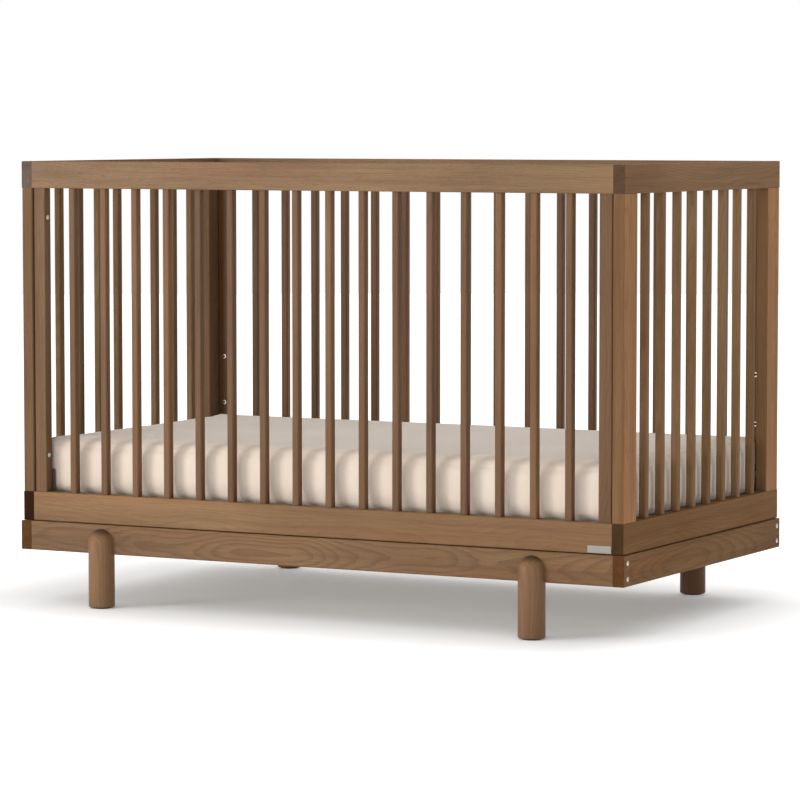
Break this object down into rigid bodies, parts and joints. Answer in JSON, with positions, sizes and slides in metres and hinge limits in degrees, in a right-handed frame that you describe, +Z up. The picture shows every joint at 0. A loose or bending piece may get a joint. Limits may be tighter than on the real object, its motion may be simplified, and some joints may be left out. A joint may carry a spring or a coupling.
{
  "type": "baby crib",
  "caption": "Slatted wooden baby crib on a low base frame with round legs, with a hook-on mattress support, a mattress and a fitted sheet.",
  "frame": {"origin": "floor level under the middle of the crib", "axes": "+X along the crib, -Y the front, +Z up"},
  "size_m": [1.3932, 0.8374, 0.924],
  "materials": {
    "stained_wood": "satin walnut stain with visible grain",
    "leg_wood": "satin walnut stain on turned wood",
    "raw_wood": "plain beech dowel",
    "black_plastic": "matte",
    "zinc_steel": "zinc plated",
    "label_cream": "matte, blank",
    "support_paint": "matte dark brown powder coat",
    "mattress_ticking": "woven ticking",
    "sheet_cotton": "plain cotton weave"
  },
  "bodies": {
    "crib": {"front_top_rail": "stained_wood", "front_bottom_rail": "stained_wood", "front_left_stile": "stained_wood", "front_right_stile": "stained_wood", "front_slats": "stained_wood", "back_top_rail": "stained_wood", "back_bottom_rail": "stained_wood", "back_left_stile": "stained_wood", "back_right_stile": "stained_wood", "back_slats": "stained_wood", "left_end_top_rail": "stained_wood", "left_end_bottom_rail": "stained_wood", "left_end_front_stile": "stained_wood", "left_end_back_stile": "stained_wood", "left_end_slats": "stained_wood", "right_end_top_rail": "stained_wood", "right_end_bottom_rail": "stained_wood", "right_end_front_stile": "stained_wood", "right_end_back_stile": "stained_wood", "right_end_slats": "stained_wood", "base_front_rail": "stained_wood", "base_back_rail": "stained_wood", "base_left_rail": "stained_wood", "base_right_rail": "stained_wood", "front_left_leg": "leg_wood", "front_right_leg": "leg_wood", "back_left_leg": "leg_wood", "back_right_leg": "leg_wood", "leg_glides": "black_plastic", "base_spacers": "black_plastic", "base_bolts": "zinc_steel", "base_barrel_nuts": "zinc_steel", "leg_bolts": "zinc_steel", "leg_inserts": "zinc_steel", "frame_bolts": "zinc_steel", "frame_inserts": "zinc_steel", "panel_bolts": "zinc_steel", "panel_inserts": "zinc_steel", "support_bolts": "zinc_steel", "support_inserts": "zinc_steel", "stile_dowels": "raw_wood", "corner_dowels": "raw_wood", "label_plate": "label_cream"},
    "mattress_support": {"support_front_angle": "support_paint", "support_back_angle": "support_paint", "support_left_angle": "support_paint", "support_right_angle": "support_paint", "support_cross_bars": "support_paint", "support_hooks": "support_paint"},
    "mattress": {"mattress_core": "mattress_ticking", "fitted_sheet": "sheet_cotton"}
  },
  "joints": [
    {"name": "support_height", "type": "slide", "parent": "crib", "child": "mattress_support", "axis": [0, 0, 1], "range_m": [0, 0.208]},
    {"name": "mattress_lift", "type": "slide", "parent": "mattress_support", "child": "mattress", "axis": [0, 0, 1], "range_m": [0, 0.72]}
  ]
}
